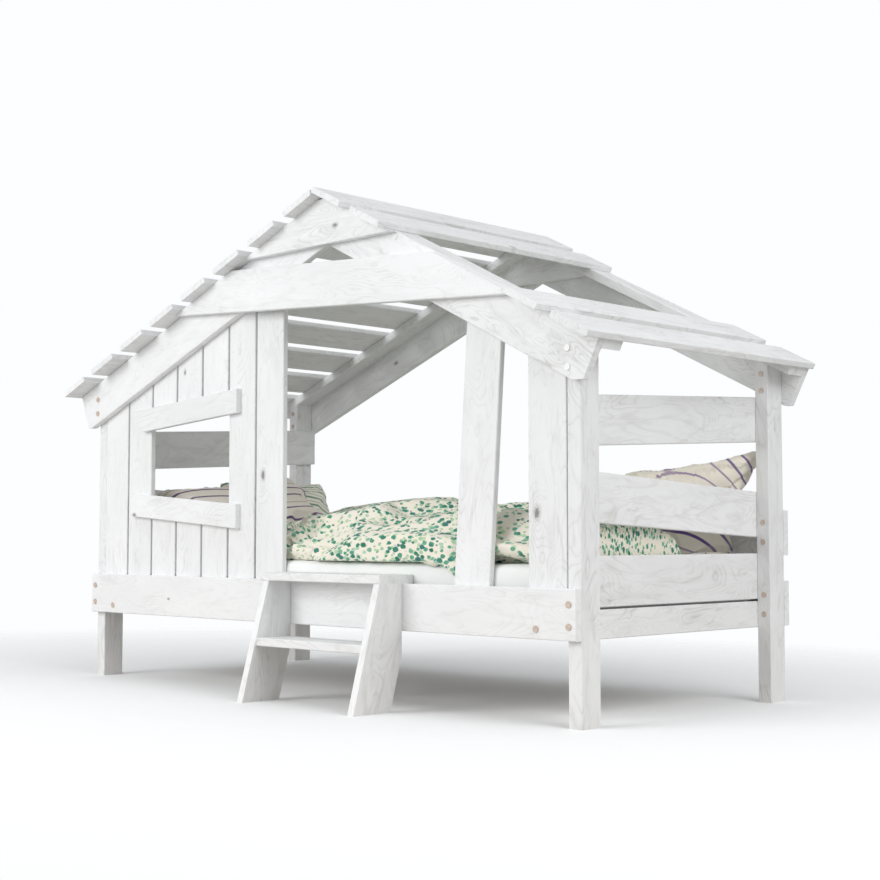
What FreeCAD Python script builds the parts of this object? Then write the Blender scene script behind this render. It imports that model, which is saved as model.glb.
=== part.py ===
"""House frame bed for a child, in millimetres.

X runs along the bed, -Y is the side with the step and the doorway, +Z is up.
The origin is on the floor, in the middle of everything the bed covers.
"""
import FreeCAD, Part
import math
import os
import re
import Sketcher

# ---------------------------------------------------------------- driving sizes
SIZES = [
    # the frame over its posts, and the roof over its slats
    ("frame_length", 2126, "over the posts, along the bed"),
    ("frame_depth", 918, "over the posts, front to back"),
    ("overall_depth", 1120, "from the foot of the step to the back posts"),
    ("roof_length", 2320, "from eave to eave"),
    ("ridge_height", 1474, "top of the roof"),
    ("eave_height", 965, "top corner of the lowest slats"),
    ("ridge_offset", 149, "the ridge stands right of the middle"),
    # timber
    ("post_width", 43, "post along the bed"),
    ("post_depth", 74, "post front to back"),
    ("board_thickness", 23.5, "rails, rafters and gable boards"),
    ("end_board_thickness", 20, "boards of the two ends"),
    ("plank_thickness", 18, "upright planks of the front wall"),
    ("trim_thickness", 18, "boards round the window"),
    ("edge_ease", 2, "eased long edges"),
    ("joint_gap", 0.5, "running clearance between neighbours"),
    # rails
    ("rail_top", 343, "top edge of the long rails"),
    ("rail_width", 128, "height of the long rails"),
    ("guard_bottom", 416, "lower edge of the board along the back"),
    ("guard_width", 130, "height of that board"),
    # end boards
    ("end_board_width", 130, "height of an end board"),
    ("end_rail_bottom", 212, "lower edge of the rail between the end posts"),
    ("end_rail_width", 74, "height of that rail"),
    ("end_rail_gap", 6, "slit between that rail and the board above"),
    ("middle_board_bottom", 488, "middle end board, half way along it"),
    ("middle_board_tilt", -2.9, "degrees, falling towards the back"),
    ("upper_board_bottom", 720, "upper end board, half way along it"),
    ("upper_board_tilt", 3.1, "degrees, rising towards the back"),
    # what the mattress lies on
    ("cleat_width", 43, "cleat screwed to the inside of a rail"),
    ("cleat_height", 40, "height of the cleat"),
    ("cleat_bottom", 218, "lower edge of the cleat"),
    ("bed_slat_width", 70, "one slat of the mattress base"),
    ("bed_slat_thickness", 18, "its thickness"),
    ("bed_slat_count", 14, "slats of the mattress base"),
    ("bed_slat_end_gap", 20, "from a slat's end to the rail"),
    # roof
    ("rafter_width", 127, "rafter across its slope"),
    ("rafter_setback", 12, "rafter ends short of the lowest slat"),
    ("rafter_corner_cut", 8, "lower corner of a rafter, cut level"),
    ("entrance_corner_cut", 17, "the same on the rafter at the doorway"),
    ("ridge_gap", 1.2, "each slope's boards stop short of the ridge"),
    ("batten_thickness", 28, "batten that carries the slats"),
    ("slat_width", 130, "one roof slat"),
    ("slat_thickness", 18, "its thickness"),
    ("slat_length", 1030, "roof slats, front to back"),
    ("slat_front_overhang", 86, "slats stand out in front of the posts"),
    ("slat_pitch", 181.5, "from slat to slat down the right slope"),
    ("left_slat_count", 8, "slats on the long slope"),
    # gable boards
    ("gable_board_drop", 163, "ridge down to the level lower edge of the board there"),
    ("gable_board_top_drop", 29, "ridge down to its flat top"),
    ("tie_drop", 343, "ridge down to the tie board's lower edge, below the ridge"),
    ("tie_width", 130, "tie board across its length"),
    ("tie_tilt", 3.47, "degrees, falling to the right"),
    # front wall
    ("plank_width", 126, "upright plank"),
    ("plank_gap", 9.5, "slit between two planks"),
    ("window_sill", 560, "planks end here below the window"),
    ("window_head", 870, "and start again here above it"),
    ("trim_width", 75, "board above or below the window"),
    ("trim_left", -850, "left end of the window boards"),
    ("trim_right", -284, "right end of the window boards"),
    ("trim_middle", -560, "where their heights are taken"),
    ("upper_trim_bottom", 830, "upper window board's lower edge there"),
    ("upper_trim_tilt", 4.2, "degrees, rising to the right"),
    ("upper_trim_slant", 66, "slanted cut of its left end"),
    ("lower_trim_bottom", 515, "lower window board's lower edge there"),
    ("lower_trim_tilt", -4.4, "degrees, falling to the right"),
    ("leaning_plank_foot", 629, "leaning plank's left edge, level with the rail top"),
    ("leaning_plank_tilt", 3.9, "degrees, leaning to the right"),
    ("leaning_plank_width", 127, "across the leaning plank"),
    ("corner_plank_gap", 3, "from the corner plank to its post"),
    # step
    ("step_left", -34, "outer face of the left side"),
    ("step_right", 457, "outer face of the right side"),
    ("step_top_share", 0.5355, "top board's reach from the posts, as a share of the foot's"),
    ("step_side_share", 0.6672, "level width of a side board, as a share of the foot's reach"),
    ("step_top_overhang", 16, "top board beyond the left side"),
    ("tread_top", 181.5, "height of the lower tread"),
    ("tread_share", 0.5693, "lower tread front to back, as a share of the foot's reach"),
    # bolts
    ("bolt_sides", 12, "bolts and their holes have this many sides"),
    ("bolt_radius", 4, "shank"),
    ("bolt_clearance", 0.5, "round the shank"),
    ("bolt_head_radius", 9, "low round head"),
    ("bolt_head_height", 2.5, "its height"),
    ("nut_radius", 8, "cap of the sleeve nut inside"),
    ("nut_height", 2, "its height"),
    ("rail_bolt_upper", 305, "height of a rail's upper bolt"),
    ("rail_bolt_lower", 250, "height of its lower bolt"),
    ("guard_bolt_upper", 511, "height of the back board's upper bolt"),
    ("guard_bolt_lower", 455, "height of its lower bolt"),
    ("rafter_bolt_upper", 937, "height of a rafter's upper bolt"),
    ("rafter_bolt_lower", 889, "height of its lower bolt"),
    ("batten_bolt_run", 277, "bolt of the right rafter and batten, from the ridge"),
    ("cleat_bolt_inset", 128, "cleat bolt from the end of the rail"),
    ("cleat_bolt_height", 241, "its height"),
    # bedding
    ("mattress_thickness", 124, "mattress"),
    ("mattress_round", 18, "its rounded edges"),
    ("soft_gap", 0.3, "bedding clear of what it lies on or leans on"),
    ("duvet_left_room", 525, "bare mattress left of the duvet"),
    ("duvet_right_room", 15, "from the duvet to the right end boards"),
    ("duvet_rise", 1, "how far the duvet's folds stand up"),
    ("duvet_setback", 5, "duvet behind the mattress's front where planks stand"),
    ("flap_thickness", 12, "corner of the duvet hanging over the mattress"),
    ("flap_hang", 55, "how far it hangs below the mattress top"),
    ("flap_width", 117, "along the mattress"),
    ("flap_plank_gap", 7, "from the leaning plank"),
    ("pillow_plumpness", 1, "how thick the pillows are"),
    ("pillow_side_draw", 0.12, "how far a pillow's sides draw in between its corners"),
    ("left_pillow_inset", 322, "left pillow's middle from the end boards"),
    ("left_pillow_share", 0.4031, "and along the mattress's depth"),
    ("left_back_pillow_inset", 132, "the pillow behind it, from the end boards"),
    ("left_back_pillow_share", 0.7016, "and along the mattress's depth"),
    ("right_pillow_inset", 262, "right pillow's middle from the end boards"),
    ("right_pillow_share", 0.657, "and along the mattress's depth"),
]
ALIASES = {name for name, size, note in SIZES}

doc = FreeCAD.newDocument("house_frame_bed")
sheet = doc.addObject("Spreadsheet::Sheet", "Sizes")
for row, (name, size, note) in enumerate(SIZES, start=1):
    sheet.set(f"A{row}", note)
    sheet.set(f"B{row}", str(size))
    sheet.setAlias(f"B{row}", name)
doc.recompute()

parts = []


def bound(expression):
    """The expression with every size name pointing at its cell."""
    return re.sub(r"[a-z_]+", lambda word: cell(word.group()), str(expression))


def cell(word):
    return "Sizes." + word if word in ALIASES else word


def value(thing, expression):
    """What an expression comes to now, as a plain number."""
    found = thing.evalExpression(bound(expression))
    return float(getattr(found, "Value", found))


# ------------------------------------------------- places worked out from sizes
FRONT = "((overall_depth - slat_length + slat_front_overhang - frame_depth) / 2)"
BACK = "((overall_depth - slat_length + slat_front_overhang + frame_depth) / 2)"
MIDDLE = "((overall_depth - slat_length + slat_front_overhang) / 2)"
RAIL_FACE = f"({FRONT} - board_thickness)"
LEFT_END = "(-frame_length / 2)"
RIGHT_END = "(frame_length / 2)"
LEFT_BAY = f"({LEFT_END} + post_width)"
RIGHT_BAY = f"({RIGHT_END} - post_width)"
LEFT_BED = f"({LEFT_BAY} + end_board_thickness)"
RIGHT_BED = f"({RIGHT_BAY} - end_board_thickness)"
CLEAT_TOP = "(cleat_bottom + cleat_height)"
BED_TOP = f"({CLEAT_TOP} + bed_slat_thickness)"
RISE = "(ridge_height - eave_height)"
SPAN = {"left": "(roof_length / 2 + ridge_offset)", "right": "(roof_length / 2 - ridge_offset)"}
FALL = {side: f"({RISE} / {SPAN[side]})" for side in SPAN}
SLOPE = {side: f"atan({RISE} / {SPAN[side]})" for side in SPAN}
RUN = {side: f"sqrt({RISE}^2 + {SPAN[side]}^2)" for side in SPAN}
SIGN = {"left": "-1", "right": "1"}
BATTEN_FOOT = "(slat_thickness + batten_thickness)"


def roof_height(side, x, depth):
    """Height of the roof at x, so far square below the top of its slats."""
    away = f"({SIGN[side]}) * (({x}) - ridge_offset)"
    return f"ridge_height - {away} * {FALL[side]} - ({depth}) / cos({SLOPE[side]})"


def roof_crossing(side, height, depth, fall="0"):
    """Where a line of that height at the ridge, falling to the right, meets the roof."""
    drop = f"(ridge_height - ({depth}) / cos({SLOPE[side]}) - ({height}))"
    return f"(ridge_offset + ({SIGN[side]}) * {drop} / ({FALL[side]} - ({SIGN[side]}) * ({fall})))"


# --------------------------------------------------------------- ways of making
def drawn(body, name, role, *outlines):
    """A sketch of closed outlines through corners, each a pair of expressions."""
    sketch = body.newObject("Sketcher::SketchObject", name)
    plane = next(part for part in body.Origin.OriginFeatures if part.Role == role)
    sketch.AttachmentSupport = (plane, [""])
    sketch.MapMode = "FlatFace"
    for corners in outlines:
        first = sketch.GeometryCount
        count = len(corners)
        places = [(value(body, across), value(body, up)) for across, up in corners]
        for index, start in enumerate(places):
            end = places[(index + 1) % count]
            sketch.addGeometry(Part.LineSegment(FreeCAD.Vector(*start, 0), FreeCAD.Vector(*end, 0)))
        for index in range(count):
            following = first + (index + 1) % count
            sketch.addConstraint(Sketcher.Constraint("Coincident", first + index, 2, following, 1))
        for index, (across, up) in enumerate(corners):
            fix(sketch, "DistanceX", first + index, places[index][0], across)
            fix(sketch, "DistanceY", first + index, places[index][1], up)
    return sketch


def fix(sketch, kind, line, size, expression):
    """Hold the start of a line at a distance from the sketch's origin."""
    number = sketch.addConstraint(Sketcher.Constraint(kind, -1, 1, line, 1, size))
    sketch.setExpression(f"Constraints[{number}]", bound(expression))


def place(body, origin, turn=None):
    """Put a body at origin, turned about the Y axis or another one."""
    if turn:
        axis, angle = turn
        start = FreeCAD.Rotation(FreeCAD.Vector(*axis), value(body, angle))
        body.Placement = FreeCAD.Placement(FreeCAD.Vector(), start)
        body.setExpression("Placement.Rotation.Angle", bound(angle))
    for letter, where in zip("xyz", origin):
        body.setExpression(f"Placement.Base.{letter}", bound(where))


def long_edges(shape, along, shortest=40):
    """Names of the straight edges that run along a direction, give or take 6 degrees."""
    names = []
    for number, edge in enumerate(shape.Edges, start=1):
        step = edge.lastVertex().Point.sub(edge.firstVertex().Point)
        if step.Length < shortest:
            continue
        if abs(step.normalize().dot(along)) > math.cos(math.radians(6)):
            names.append(f"Edge{number}")
    return names


ALONG = {
    "x": FreeCAD.Vector(1, 0, 0),
    "y": FreeCAD.Vector(0, 1, 0),
    "z": FreeCAD.Vector(0, 0, 1),
}


def board(label, role, corners, thickness, origin, along, turn=None, holes=(), keep=True):
    """A board: its outline, its thickness, eased long edges and its bolt holes."""
    body = doc.addObject("PartDesign::Body", label)
    body.Label = label
    pad = body.newObject("PartDesign::Pad", label + "_board")
    pad.Profile = drawn(body, label + "_outline", role, corners)
    pad.setExpression("Length", bound(thickness))
    doc.recompute()
    eased = body.newObject("PartDesign::Chamfer", label + "_eased")
    eased.Base = (pad, long_edges(pad.Shape, ALONG[along]))
    eased.setExpression("Size", "Sizes.edge_ease")
    body.Tip = eased
    if holes:
        doc.recompute()
        drill(body, label, role, holes, eased)
    place(body, origin, turn)
    if keep:
        parts.append(body)
    return body


def drill(body, label, role, holes, solid):
    """Bolt holes right through a board."""
    pocket = body.newObject("PartDesign::Pocket", label + "_bolt_holes")
    pocket.Profile = drawn(body, label + "_holes", role, *[ring(*hole) for hole in holes])
    pocket.SideType = "Symmetric"
    pocket.Type = "ThroughAll"
    body.Tip = pocket
    doc.recompute()
    if pocket.Shape.Volume >= solid.Shape.Volume - 1:
        raise RuntimeError(label + ": the bolt holes cut nothing")


def ring(across, up):
    """Corners of a bolt hole, which has the bolt's own number of sides."""
    sides = int(sheet.get("bolt_sides"))
    corners = []
    for number in range(sides):
        turn = f"(360 * {number} / bolt_sides)"
        corners.append((f"{across} + (bolt_radius + bolt_clearance) * cos({turn})",
                        f"{up} + (bolt_radius + bolt_clearance) * sin({turn})"))
    return corners


def rectangle(left, right, bottom, top):
    return [(left, bottom), (right, bottom), (right, top), (left, top)]


def group(label, bodies):
    """Like pieces that share one node as separate solids."""
    gathered = doc.addObject("Part::Compound", label)
    gathered.Label = label
    gathered.Links = bodies
    parts.append(gathered)


# -------------------------------------------------------------- posts and rails
POST_MIDDLE = {"left": f"({LEFT_END} + post_width / 2)", "right": f"({RIGHT_END} - post_width / 2)"}
RAIL_BOLTS = ["rail_bolt_upper", "rail_bolt_lower"]
GUARD_BOLTS = ["guard_bolt_upper", "guard_bolt_lower"]
RAFTER_BOLTS = ["rafter_bolt_upper", "rafter_bolt_lower"]
CLEAT_BOLTS = [
    (f"{LEFT_END} + cleat_bolt_inset", "cleat_bolt_height"),
    (f"{RIGHT_END} - cleat_bolt_inset", "cleat_bolt_height"),
]
BATTEN_BOLT_X = "(ridge_offset + batten_bolt_run)"
BATTEN_BOLT = (BATTEN_BOLT_X,
               roof_height("right", BATTEN_BOLT_X, "slat_thickness + batten_thickness / 2"))


def make_posts():
    for side in ("left", "right"):
        inner, outer = (LEFT_BAY, LEFT_END) if side == "left" else (RIGHT_BAY, RIGHT_END)
        left, right = (outer, inner) if side == "left" else (inner, outer)
        corners = [
            (left, "0"),
            (right, "0"),
            (right, roof_height(side, right, BATTEN_FOOT)),
            (left, roof_height(side, left, BATTEN_FOOT)),
        ]
        front_bolts = RAIL_BOLTS + RAFTER_BOLTS
        back_bolts = front_bolts + GUARD_BOLTS
        for name, rear, bolts in (
            ("front", f"{FRONT} + post_depth", front_bolts),
            ("back", BACK, back_bolts),
        ):
            holes = [(POST_MIDDLE[side], height) for height in bolts]
            board(f"{name}_{side}_post", "XZ_Plane", corners, "post_depth",
                  ("0", rear, "0"), "z", holes=holes)


def both_ends(heights):
    return [(POST_MIDDLE[side], height) for side in ("left", "right") for height in heights]


def make_rails():
    outline = rectangle(LEFT_END, RIGHT_END, "rail_top - rail_width", "rail_top")
    holes = both_ends(RAIL_BOLTS) + CLEAT_BOLTS
    board("front_rail", "XZ_Plane", outline, "board_thickness", ("0", FRONT, "0"), "x", holes=holes)
    behind = f"{BACK} + board_thickness"
    board("back_rail", "XZ_Plane", outline, "board_thickness", ("0", behind, "0"), "x", holes=holes)
    guard = rectangle(LEFT_END, RIGHT_END, "guard_bottom", "guard_bottom + guard_width")
    board("back_guard_board", "XZ_Plane", guard, "board_thickness", ("0", behind, "0"), "x",
          holes=both_ends(GUARD_BOLTS))


def make_end_boards():
    """Three boards and a rail on the inner faces of each pair of end posts."""
    front = f"({FRONT} + plank_thickness)"
    lower = "end_rail_bottom + end_rail_width + end_rail_gap"
    rows = [
        ("rail", "end_rail_bottom", "end_rail_width", "0"),
        ("lower_board", lower, "end_board_width", "0"),
        ("middle_board", "middle_board_bottom", "end_board_width", "middle_board_tilt"),
        ("upper_board", "upper_board_bottom", "end_board_width", "upper_board_tilt"),
    ]
    for side, face in (("left", LEFT_BAY), ("right", RIGHT_BED)):
        for name, bottom, width, tilt in rows:
            corners = []
            for y, extra in ((front, "0"), (BACK, "0"), (BACK, width), (front, width)):
                height = f"{bottom} + ({y} - {MIDDLE}) * tan({tilt}) + {extra} / cos({tilt})"
                corners.append((y, height))
            board(f"{side}_end_{name}", "YZ_Plane", corners, "end_board_thickness",
                  (face, "0", "0"), "y")


def make_mattress_base():
    left, right = f"{LEFT_BED} + joint_gap", f"{RIGHT_BED} - joint_gap"
    outline = rectangle(left, right, "cleat_bottom", CLEAT_TOP)
    cleats = [
        board("front_cleat", "XZ_Plane", outline, "cleat_width",
              ("0", f"{FRONT} + cleat_width", "0"), "x", holes=CLEAT_BOLTS, keep=False),
        board("back_cleat", "XZ_Plane", outline, "cleat_width",
              ("0", BACK, "0"), "x", holes=CLEAT_BOLTS, keep=False),
    ]
    group("mattress_cleats", cleats)
    count = int(sheet.get("bed_slat_count"))
    step = f"(({right}) - ({left}) - bed_slat_width) / (bed_slat_count - 1)"
    slats = []
    for number in range(count):
        start = f"{left} + {number} * {step}"
        section = rectangle(start, f"{start} + bed_slat_width", CLEAT_TOP, BED_TOP)
        slats.append(board(f"bed_slat_{number + 1}", "XZ_Plane", section,
                           "frame_depth - 2 * bed_slat_end_gap",
                           ("0", f"{BACK} - bed_slat_end_gap", "0"), "y", keep=False))
    group("bed_slats", slats)


# ------------------------------------------------------------------------- roof
def sloped(label, side, corners, thickness, rear, along="x", holes=()):
    """A board in the frame of one slope: x down the slope, z square to it."""
    mirrored = [(f"({SIGN[side]}) * ({down})", up) for down, up in corners]
    turn = ((0, 1, 0), f"({SIGN[side]}) * {SLOPE[side]}")
    return board(label, "XZ_Plane", mirrored, thickness,
                 ("ridge_offset", rear, "ridge_height"), along, turn=turn, holes=holes)


def on_slope(side, x, height):
    """A point of the gable in the frame of one slope, already mirrored for it."""
    sideways = f"({SIGN[side]}) * (({x}) - ridge_offset)"
    drop = f"(ridge_height - ({height}))"
    down = f"({sideways} * cos({SLOPE[side]}) + {drop} * sin({SLOPE[side]}))"
    up = f"({sideways} * sin({SLOPE[side]}) - {drop} * cos({SLOPE[side]}))"
    return f"({SIGN[side]}) * {down}", up


def make_rafters():
    top, foot = "slat_thickness", "(slat_thickness + rafter_width)"
    for side in ("left", "right"):
        end = f"({RUN[side]} - rafter_setback)"
        clear = f"ridge_gap / cos({SLOPE[side]})"
        for name, rear in (("front", FRONT), ("back", f"{BACK} + board_thickness")):
            entrance = (name, side) == ("front", "right")
            cut = "entrance_corner_cut" if entrance else "rafter_corner_cut"
            corners = [
                (f"{foot} * {FALL[side]} + {clear}", f"-{foot}"),
                (f"{end} - {cut} / {FALL[side]}", f"-{foot}"),
                (end, f"{cut} - {foot}"),
                (end, f"-{top}"),
                (f"{top} * {FALL[side]} + {clear}", f"-{top}"),
            ]
            shared = [on_slope(side, *BATTEN_BOLT)] if entrance else []
            holes = [on_slope(side, POST_MIDDLE[side], height) for height in RAFTER_BOLTS]
            sloped(f"{name}_{side}_rafter", side, corners, "board_thickness", rear,
                   holes=holes + shared)
            corners = [
                (f"{BATTEN_FOOT} * {FALL[side]} + {clear}", f"-{BATTEN_FOOT}"),
                (end, f"-{BATTEN_FOOT}"),
                (end, f"-{top}"),
                (f"{top} * {FALL[side]} + {clear}", f"-{top}"),
            ]
            rear = f"{FRONT} + post_depth" if name == "front" else BACK
            sloped(f"{name}_{side}_batten", side, corners, "post_depth", rear, holes=shared)


def make_roof_slats():
    """Eight slats on the long slope; on the short one two above a skylight, two below."""
    ridge_lap = (f"(slat_thickness * (sin({SLOPE['left']}) + sin({SLOPE['right']}))"
                 f" / cos({SLOPE['left']}) + joint_gap)")
    count = int(sheet.get("left_slat_count"))
    step = f"(({RUN['left']} - slat_width - {ridge_lap}) / (left_slat_count - 1))"
    starts = [("left", number + 1, f"{ridge_lap} + {number} * {step}") for number in range(count)]
    lowest = f"({RUN['right']} - slat_width)"
    right_starts = ["0", "slat_pitch", f"{lowest} - slat_pitch", lowest]
    starts += [("right", number + 1, start) for number, start in enumerate(right_starts)]
    rear = f"{FRONT} - slat_front_overhang + slat_length"
    for side, number, start in starts:
        section = rectangle(start, f"{start} + slat_width", "-slat_thickness", "0")
        sloped(f"{side}_roof_slat_{number}", side, section, "slat_length", rear, along="y")


def across_gable(bottom, top, depth, fall="0"):
    """Outline of a board across the gable, trimmed to both slopes."""
    corners = []
    for side, height in (("left", bottom), ("right", bottom), ("right", top), ("left", top)):
        x = roof_crossing(side, height, depth, fall)
        corners.append((x, f"{height} - ({x} - ridge_offset) * ({fall})"))
    return corners


def make_gable_boards():
    outer = f"{FRONT} - board_thickness"
    low = "(ridge_height - gable_board_drop)"
    top = "(ridge_height - gable_board_top_drop)"
    outline = across_gable(low, top, "slat_thickness")
    board("front_gable_board", "XZ_Plane", outline, "board_thickness", ("0", outer, "0"), "x")
    tie_low = "(ridge_height - tie_drop)"
    tie_top = f"({tie_low} + tie_width / cos(tie_tilt))"
    outline = across_gable(tie_low, tie_top, "slat_thickness", "tan(tie_tilt)")
    board("front_tie_board", "XZ_Plane", outline, "board_thickness", ("0", outer, "0"), "x")
    outline = across_gable(low, f"({top} - batten_thickness)", BATTEN_FOOT)
    board("back_gable_board", "XZ_Plane", outline, "board_thickness", ("0", BACK, "0"), "x")


# ------------------------------------------------------------------- front wall
def make_planks():
    """Planks from the cleat up to the batten; three stop for the window."""
    behind = ("0", f"{FRONT} + plank_thickness", "0")

    def plank(label, left, right, bottom, top, keep=True):
        corners = [(left, bottom), (right, bottom), (right, top[1]), (left, top[0])]
        return board(label, "XZ_Plane", corners, "plank_thickness", behind, "z", keep=keep)

    sills, heads = [], []
    for number in range(7):
        left = f"({LEFT_BAY} + {number} * (plank_width + plank_gap))"
        right = f"({left} + plank_width)"
        roof = [roof_height("left", x, BATTEN_FOOT) for x in (left, right)]
        if number in (2, 3, 4):
            sill = ("window_sill", "window_sill")
            sills.append(plank(f"sill_plank_{number + 1}", left, right, CLEAT_TOP, sill, keep=False))
            heads.append(plank(f"head_plank_{number + 1}", left, right, "window_head", roof, keep=False))
        else:
            plank(f"wall_plank_{number + 1}", left, right, CLEAT_TOP, roof)
    group("window_sill_planks", sills)
    group("window_head_planks", heads)

    right = f"({RIGHT_BAY} - corner_plank_gap)"
    left = f"({right} - plank_width)"
    roof = [roof_height("right", x, BATTEN_FOOT) for x in (left, right)]
    plank("corner_plank", left, right, CLEAT_TOP, roof)


def make_leaning_plank():
    """The crooked plank beside the doorway, cut level at its foot and to the roof above."""
    lean = "tan(leaning_plank_tilt)"
    wide = "leaning_plank_width / cos(leaning_plank_tilt)"
    corners = []
    for edge in ("leaning_plank_foot", f"(leaning_plank_foot + {wide})"):
        at_floor = f"({edge} - rail_top * {lean})"
        under = f"(ridge_height - {BATTEN_FOOT} / cos({SLOPE['right']}))"
        top = f"(({under} - ({at_floor} - ridge_offset) * {FALL['right']}) / (1 + {lean} * {FALL['right']}))"
        corners.append([(f"{at_floor} + {CLEAT_TOP} * {lean}", CLEAT_TOP),
                        (f"{at_floor} + {top} * {lean}", top)])
    left, right = corners
    board("leaning_plank", "XZ_Plane", [left[0], right[0], right[1], left[1]],
          "plank_thickness", ("0", f"{FRONT} + plank_thickness", "0"), "z")


def make_window_boards():
    rows = [
        ("window_upper_board", "upper_trim_bottom", "upper_trim_tilt", "upper_trim_slant"),
        ("window_lower_board", "lower_trim_bottom", "lower_trim_tilt", "0"),
    ]
    for label, height, tilt, slant in rows:
        corners = []
        for x, extra in (
            (f"trim_left + {slant}", "0"),
            ("trim_right", "0"),
            ("trim_right", "trim_width"),
            ("trim_left", "trim_width"),
        ):
            z = f"{height} + ({x} - trim_middle) * tan({tilt}) + {extra} / cos({tilt})"
            corners.append((x, z))
        board(label, "XZ_Plane", corners, "trim_thickness", ("0", FRONT, "0"), "x")


# ------------------------------------------------------------------------- step
def make_step():
    """Two leaning sides against the rail, a tread, and a top that laps over the rail."""
    reach = "(overall_depth - frame_depth)"
    foot = f"({FRONT} - {reach})"
    lean = f"({reach} * (1 - step_top_share) / rail_top)"
    level = f"({reach} * step_side_share)"
    meets_rail = f"(({RAIL_FACE} - {foot} - {level}) / {lean})"
    corners = [
        (foot, "0"),
        (f"{foot} + {level}", "0"),
        (RAIL_FACE, meets_rail),
        (RAIL_FACE, "rail_top"),
        (f"{foot} + rail_top * {lean}", "rail_top"),
    ]
    for side, face in (("left", "step_left"), ("right", "step_right - board_thickness")):
        board(f"step_{side}_side", "YZ_Plane", corners, "board_thickness", (face, "0", "0"), "z")
    top_front = f"({foot} + rail_top * {lean})"
    top_rear = f"({FRONT} + plank_thickness - joint_gap)"
    outline = rectangle("step_left - step_top_overhang", "step_right",
                        "rail_top", "rail_top + board_thickness")
    board("step_top", "XZ_Plane", outline, f"{top_rear} - {top_front}", ("0", top_rear, "0"), "x")
    outline = rectangle("step_left + board_thickness", "step_right - board_thickness",
                        "tread_top - board_thickness", "tread_top")
    tread_depth = f"({reach} * tread_share)"
    tread_rear = f"{foot} + tread_top * {lean} + {tread_depth}"
    board("step_tread", "XZ_Plane", outline, tread_depth, ("0", tread_rear, "0"), "x")


# ------------------------------------------------------------------------ bolts
def bolt(label, x, height, side, grip):
    """A bolt with a low head on the outer face and a capped sleeve nut inside."""
    pieces = []
    for name, radius, low, length in (
        ("nut", "nut_radius", f"-({grip}) - nut_height", "nut_height"),
        ("shank", "bolt_radius", f"-({grip})", grip),
        ("head", "bolt_head_radius", "0", "bolt_head_height"),
    ):
        piece = doc.addObject("Part::Prism", f"{label}_{name}")
        piece.setExpression("Polygon", bound("bolt_sides"))
        piece.setExpression("Circumradius", bound(radius))
        piece.setExpression("Height", bound(length))
        piece.setExpression("Placement.Base.z", bound(low))
        pieces.append(piece)
    joined = doc.addObject("Part::MultiFuse", label)
    joined.Label = label
    joined.Shapes = pieces
    face = RAIL_FACE if side == "front" else f"{BACK} + board_thickness"
    place(joined, (x, face, height), ((1, 0, 0), "90" if side == "front" else "-90"))
    return joined


def make_bolts():
    through_post = "board_thickness + post_depth"
    through_cleat = "board_thickness + cleat_width"
    bolts = []
    for side, heights in (
        ("front", RAIL_BOLTS + RAFTER_BOLTS),
        ("back", RAIL_BOLTS + RAFTER_BOLTS + GUARD_BOLTS),
    ):
        for x, height in both_ends(heights):
            bolts.append(bolt(f"{side}_bolt_{len(bolts) + 1}", x, height, side, through_post))
        for x, height in CLEAT_BOLTS:
            bolts.append(bolt(f"{side}_bolt_{len(bolts) + 1}", x, height, side, through_cleat))
    bolts.append(bolt("front_batten_bolt", *BATTEN_BOLT, "front", through_post))
    group("connector_bolts", bolts)


# ---------------------------------------------------------------------- bedding
def make_mattress():
    outline = rectangle(f"{LEFT_BED} + 2 * joint_gap", f"{RIGHT_BED} - 2 * joint_gap",
                        BED_TOP, f"{BED_TOP} + mattress_thickness")
    body = doc.addObject("PartDesign::Body", "mattress")
    body.Label = "mattress"
    pad = body.newObject("PartDesign::Pad", "mattress_block")
    pad.Profile = drawn(body, "mattress_outline", "XZ_Plane", outline)
    pad.setExpression("Length", bound("frame_depth - plank_thickness - 4 * joint_gap"))
    doc.recompute()
    soft = body.newObject("PartDesign::Fillet", "mattress_soft_edges")
    soft.Base = (pad, [f"Edge{number}" for number in range(1, len(pad.Shape.Edges) + 1)])
    soft.setExpression("Radius", "Sizes.mattress_round")
    body.Tip = soft
    place(body, ("0", f"{BACK} - 2 * joint_gap", "0"))
    parts.append(body)


def size(expression):
    """What an expression comes to, for shapes that Part's own functions make."""
    return value(sheet, expression)


def bulged(start, end, lift, normal):
    """An arc from start to end, its middle moved aside by lift times their distance."""
    along = end.sub(start)
    middle = start.add(end).multiply(0.5).add(normal.cross(along).multiply(lift))
    return Part.Arc(start, middle, end).toShape()


def smoothed(rows, pieces):
    """More rows between those given, on curves that never swing past them."""
    def rise(index, column):
        here, following = rows[index], rows[index + 1]
        return (following[column] - here[column]) / (following[0] - here[0])

    def slope(index, column):
        before = rise(max(index - 1, 0), column)
        after = rise(min(index, len(rows) - 2), column)
        return 2 * before * after / (before + after) if before * after > 0 else 0

    filled = []
    for index, (here, following) in enumerate(zip(rows, rows[1:])):
        width = following[0] - here[0]
        for piece in range(pieces):
            t = piece / pieces
            row = [here[0] + width * t]
            for column in range(1, len(here)):
                blend = t * t * (3 - 2 * t)
                leaving = slope(index, column) * width * t * (1 - t) ** 2
                arriving = slope(index + 1, column) * width * t * t * (1 - t)
                row.append(here[column] * (1 - blend) + following[column] * blend + leaving - arriving)
            filled.append(row)
    return filled + [list(rows[-1])]


def make_soft(label, shape):
    if not shape.isValid() or len(shape.Solids) != 1:
        raise RuntimeError(label + " is not one sound solid")
    piece = doc.addObject("Part::Feature", label)
    piece.Label = label
    piece.Shape = shape
    parts.append(piece)
    return piece


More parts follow.
